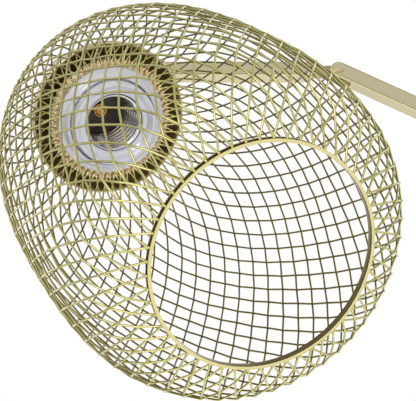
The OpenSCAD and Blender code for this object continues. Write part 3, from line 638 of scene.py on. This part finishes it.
skirt = spin_profile([
    (skirt_r - 2, skirt_back), (skirt_r, skirt_back), (skirt_r, -2.9), (shoulder_r, -2.9),
    (shoulder_r, -1.3), (skirt_r, -1.3), (skirt_r, 4.5), (skirt_r - 0.6, 5.5),
    (skirt_r - 0.8, skirt_front - 0.7), (skirt_r - 1.1, skirt_front - 0.2),
    (skirt_r - 1.6, skirt_front), (skirt_r - 2.2, skirt_front - 0.2),
    (skirt_r - 2.9, skirt_front - 1.0), (skirt_r - 3.7, 7.9), (skirt_r - 4.4, 7.2),
    (shell_r + 1.9, 7.2), (shell_r + 1.5, 7.6), (shell_r + 1.1, 7.6), (shell_r + 0.85, 7.1),
    (shell_r + 0.8, 6.0), (skirt_r - 2, 6.0)], steps=144)
make_piece("lampholder_mouth", soften(skirt, 0.15, over=50), head_place, pale_gloss, "head",
           ["lampholder_skirt"])

ring_r = 26.1
ring_front = 6.1
ring_bore_r = skirt_r + 0.25
ring = spin_profile([
    (ring_bore_r, 0.1), (ring_r - 0.5, 0.1), (ring_r, 0.6), (ring_r, 2.0), (ring_r - 0.25, 2.7),
    (ring_r - 0.9, 3.1), (ring_r - 1.8, 3.3), (skirt_r + 2.6, 4.2), (skirt_r + 2.1, 5.3),
    (skirt_r + 1.5, 5.95), (skirt_r + 0.95, ring_front), (skirt_r + 0.5, 5.9), (ring_bore_r, 5.2)],
    steps=144)
make_piece("clamp_ring", soften(ring, 0.12, over=45), head_place, pale_gloss, "head",
           ["shade_ring"])


def threaded_shell():
    """The shell's rolled thread: one wave of its outline, wound up in a screw line and trimmed.
    Its front end is flared a little, and its back end is rolled in."""
    steps = 48
    wave_steps = 10
    flare = 0.3
    roll_in = 1.4
    bm = bmesh.new()
    turns = int((shell_front - shell_back) / thread_pitch) + 3
    wave = [bm.verts.new((shell_r + thread_depth / 2 * (cos(2 * pi * i / wave_steps) - 1), 0,
                          thread_pitch * i / wave_steps + shell_back - 1.5 * thread_pitch))
            for i in range(wave_steps + 1)]
    edges = [bm.edges.new(pair) for pair in zip(wave, wave[1:])]
    bmesh.ops.spin(bm, geom=wave + edges, cent=(0, 0, 0), axis=(0, 0, 1), angle=2 * pi * turns,
                   steps=steps * turns, dvec=(0, 0, thread_pitch / steps))
    bmesh.ops.remove_doubles(bm, verts=bm.verts, dist=0.01)
    for height, side in ((shell_back + 1.4, -1), (shell_front - 1.2, 1)):
        bmesh.ops.bisect_plane(bm, geom=bm.verts[:] + bm.edges[:] + bm.faces[:], dist=1e-4,
                               plane_co=(0, 0, height), plane_no=(0, 0, side), clear_outer=True)
    for end, r, z in ((1, shell_r + flare, shell_front),
                      (-1, shell_r - roll_in, shell_back + 0.5)):
        cut = [e for e in bm.edges if e.is_boundary and all(v.co.z * end > 3 for v in e.verts)]
        grown = bmesh.ops.extrude_edge_only(bm, edges=cut)["geom"]
        for v in grown:
            if isinstance(v, bmesh.types.BMVert):
                v.co = Vector((v.co.x, v.co.y, 0)).normalized() * r + Vector((0, 0, z))
    bmesh.ops.recalc_face_normals(bm, faces=bm.faces)
    return bm


shell = make_piece("threaded_shell", threaded_shell(), head_place, nickel, "head",
                   ["screw_shell"], smooth_to=60)
thicken = shell.modifiers.new("wall", "SOLIDIFY")
thicken.thickness = shell_wall * mm
thicken.offset = 0

# The centre contact: a hollow rivet of bright brass with a rolled rim, on a short stem that stands
# on the lampholder's core in the middle of the shell's rolled end.
contact_brass = finish("contact_brass", (0.70, 0.38, 0.10), (0.50, 0.25, 0.06), 0.18, 0.3,
                       scale=300)
rivet = [(0, 0), (2.2, 0), (2.2, 1.5), (3.1, 1.6), (3.5, 2.0), (3.45, 2.4), (3.0, 2.6),
         (2.5, 2.45), (2.2, 1.9), (1.7, 1.7), (0.9, 1.95), (0, 2.05)]
contact = spin_profile([(r, shell_back + z) for r, z in rivet], closed=False, steps=48)
make_piece("contact_rivet", contact, head_place, contact_brass, "head",
           ["centre_contact"], smooth_to=70)

# The woven shade: round brass wires in two families that wind opposite ways over a barrel from
# the collar to the rim, brazed where they cross and plated pale gold. The crossings are one pitch
# apart along a wire, so the meshes are square where the barrel is wide and narrow at its ends.
wires = 53
pitch = 8.897
wire_r = 0.425
weave_lift = 0.2
outline_steps = 40
# The outline of the barrel, as height above the collar and radius.
outline = [
    (0.8, 26.6), (3.2, 33.5), (8.5, 39.8), (16, 46.3), (25, 54.5), (33, 59.8), (46, 63.9),
    (66, 67.8), (88, 69.7), (110, 70.3), (132, 70.5), (152, 69.4), (168, 65.9), (177, 61.6),
    (183, 55.1), (187, 47.6), (189.1, 43.1)]
first_turn = radians(1.14)
rim_outer_r = 44


def bend(a, b, c, d, t):
    """A place on the smooth line through four points, a share of the way from b to c."""
    return 0.5 * (2 * b + (c - a) * t + (2 * a - 5 * b + 4 * c - d) * t * t
                  + (3 * b - a - 3 * c + d) * t ** 3)


def smooth_outline(points, steps):
    """A smooth line through points, cut into steps between one and the next."""
    line = [Vector(p) for p in points]
    ends = [line[0] * 2 - line[1]] + line + [line[-1] * 2 - line[-2]]
    made = [bend(*ends[i:i + 4], j / steps) for i in range(len(line) - 1) for j in range(steps)]
    return made + [line[-1]]


barrel = smooth_outline(outline, outline_steps)


def crossing_distance(a, b):
    """How far apart two crossings on one wire are, in neighbouring rows at a and b."""
    return sqrt(a.y ** 2 + b.y ** 2 - 2 * a.y * b.y * cos(pi / wires) + (a.x - b.x) ** 2)


def on_barrel(at):
    """A place on the outline, as height and radius, at a count of its steps."""
    i = min(int(at), len(barrel) - 2)
    return barrel[i].lerp(barrel[i + 1], at - i)


def crossing_rows():
    """Places along the outline of the rows of crossings, from the rim back to the collar."""
    rows = [len(barrel) - 1.0]
    i = len(barrel) - 1
    while i > 0:
        here = on_barrel(rows[-1])
        while i > 0 and crossing_distance(barrel[i - 1], here) < pitch:
            i -= 1
        if i > 0:
            near, far = (crossing_distance(barrel[k], here) for k in (i, i - 1))
            rows.append(i - (pitch - near) / (far - near))
    return rows + [0.0]


rows = crossing_rows()
# The last stretch stops where the wires meet the outside of the rim band.
rim_meets = rim_outer_r + wire_r * 0.6
while on_barrel(rows[0]).y <= rim_meets:
    rows[0] -= 0.25


def around(at, turn, lift=0.0):
    """A point over a place on the outline, turned about the axis and lifted off the barrel."""
    point = on_barrel(at)
    slope = on_barrel(min(at + 1, len(barrel) - 1)) - on_barrel(max(at - 1, 0))
    out = Vector((-slope.y, slope.x)).normalized()
    point = point + out * lift
    return Vector((point.y * cos(turn), point.y * sin(turn), point.x))


def wire_line(number, hand):
    """One wire's centre line: over and under at each crossing, straight in between."""
    return [around(at, first_turn + pi / wires * (2 * number + hand * k),
                   weave_lift * hand * (-1) ** k)
            for k, at in enumerate(rows)]


def draw_wires(name, lines, radius, sides_level):
    """Round wires along centre lines, with flat ends, as a bmesh."""
    curve = bpy.data.curves.new(name, "CURVE")
    curve.dimensions = "3D"
    curve.bevel_depth = radius
    curve.bevel_resolution = sides_level
    curve.use_fill_caps = True
    for line in lines:
        spline = curve.splines.new("POLY")
        spline.points.add(len(line) - 1)
        for point, place in zip(spline.points, line):
            point.co = (*place, 1)
    drawn = bpy.data.objects.new(name, curve)
    bpy.context.scene.collection.objects.link(drawn)
    bpy.context.view_layer.update()
    round_wires = drawn.evaluated_get(bpy.context.evaluated_depsgraph_get())
    mesh = bpy.data.meshes.new_from_object(round_wires)
    bpy.data.objects.remove(drawn)
    bm = bmesh.new()
    bm.from_mesh(mesh)
    bpy.data.meshes.remove(mesh)
    return bm


collar_tan = finish("collar_tan", (0.98, 0.82, 0.52), (0.82, 0.65, 0.38), 0.18, 0.34, scale=110)
dress(["shade_collar"], collar_tan, 0.2)
# The wires' inner tone is painted shade, on the side that faces into the shade.
wire_gold = finish("wire_gold", (0.84, 0.79, 0.34), (0.68, 0.63, 0.24), 0.1, 0.22, scale=120,
                   painted_shade_tone=(0.25, 0.21, 0.08))
collar_wall = 12
heights = [point.x for point in barrel]
slopes = [(after - before).normalized() for before, after in zip(barrel, barrel[2:])]
slopes = slopes[:1] + slopes + slopes[-1:]


def mark_painted_shade(piece, least=0.0):
    """Marks how much of its own tone each point keeps against the inner painted shade: all where the
    shade's surface faces out, none inside, apart from the wall at the collar, which faces the mouth."""
    painted_shade_edge = -0.1
    painted_shade_fade = 0.45
    turn = to_head.to_3x3()
    share = []
    for vert in piece.data.vertices:
        spot = to_head @ vert.co
        slope = slopes[min(bisect(heights, spot.z), len(slopes) - 1)]
        radial = Vector((spot.x, spot.y, 0)).normalized()
        out = radial * slope.x - Vector((0, 0, slope.y))
        reach = ((turn @ vert.normal).normalized().dot(out) - painted_shade_edge) / painted_shade_fade
        share.append(min(max(reach, 1 - spot.z / collar_wall, least), 1))
    unshaded_share = piece.data.attributes.new("unshaded_share", "FLOAT", "POINT")
    unshaded_share.data.foreach_set("value", share)


lines = [wire_line(j, hand) for j in range(wires) for hand in (1, -1)]
wires_bm = draw_wires("woven_wires", lines, wire_r, sides_level=2)
woven = make_piece("woven_wires", wires_bm, head_place, wire_gold, "head",
                   ["wire_shade"], smooth_to=50, turn_out=False)
mark_painted_shade(woven)

# A bead of braze sits on each crossing, and a bigger one where two wires meet at the rim.
bead_lift = 0.12
bead_r = wire_r * 1.35
rim_bead_r = wire_r * 1.7
joints_bm = bmesh.new()
for k, at in enumerate(rows[:-1]):
    for j in range(wires):
        spot = around(at, first_turn + pi / wires * (2 * j + k), bead_lift)
        bmesh.ops.create_icosphere(joints_bm, subdivisions=1, radius=bead_r if k else rim_bead_r,
                                   matrix=Matrix.Translation(spot))
crossings = make_piece("brazed_crossings", joints_bm, head_place, wire_gold, "head",
                       smooth_to=80, turn_out=False)
# The beads take the same painted shade on their inner side, keeping at least about a third of their own tone.
mark_painted_shade(crossings, least=0.35)

# At the collar a long drop of braze lies over each wire's end.
braze_r = 0.72
braze_middle = 2
braze_stretch = 3.2
ends_bm = bmesh.new()
for line in lines:
    inner_end, next_crossing = line[-1], line[-2]
    along = (next_crossing - inner_end).normalized()
    stretch = Matrix.Diagonal((1, 1, braze_stretch, 1))
    lie = along.to_track_quat("Z", "Y").to_matrix().to_4x4()
    drop_place = Matrix.Translation(inner_end + along * braze_middle) @ lie @ stretch
    bmesh.ops.create_icosphere(ends_bm, subdivisions=1, radius=braze_r, matrix=drop_place)
make_piece("brazed_ends", ends_bm, head_place, collar_tan, "head", smooth_to=80,
           turn_out=False)

# The rim: a hoop rolled from brass as a channel with its groove outwards, which the wire ends are
# brazed to. It is plated as the wires are; its inner wall and its groove are darkened with painted shade.
rim_inner_r = 42.7
rim_front = 189.5
rim_depth = 3.1
groove_r = 43.3
flange_t = 0.5
# The two dark finishes are painted shade, on the hoop's inner wall and in its groove.
rim_gold = finish("rim_gold", (0.84, 0.77, 0.38), (0.74, 0.67, 0.30), 0.12, 0.22, bump=0.0)
rim_inner_shade = finish("rim_inner_shade", (0.30, 0.24, 0.10), (0.16, 0.12, 0.05), 0.04, 0.1, bump=0.0)
groove_shade = finish("groove_shade", (0.11, 0.08, 0.035), (0.03, 0.022, 0.012), 0.3, 0.5,
                     metallic=0.3)
rim_back = rim_front - rim_depth
groove_back, groove_front = rim_back + flange_t, rim_front - flange_t
channel = soften(spin_profile([
    (rim_inner_r, rim_back), (rim_outer_r, rim_back), (rim_outer_r, groove_back),
    (groove_r, groove_back), (groove_r, groove_front), (rim_outer_r, groove_front),
    (rim_outer_r, rim_front), (rim_inner_r, rim_front)], steps=160), 0.12)
hoop = make_piece("rim_hoop", channel, head_place, rim_gold, "head", ["rim_band"])
hoop.data.materials.append(groove_shade)
hoop.data.materials.append(rim_inner_shade)
painted_groove_shade, painted_inner_shade = 1, 2
for face in hoop.data.polygons:
    spot = to_head @ face.center
    r = spot.xy.length
    in_groove = groove_back - 0.1 < spot.z < groove_front + 0.1
    if in_groove and groove_r - 0.1 < r < rim_outer_r - 0.15:
        face.material_index = painted_groove_shade
    elif r < rim_inner_r + 0.05:
        face.material_index = painted_inner_shade
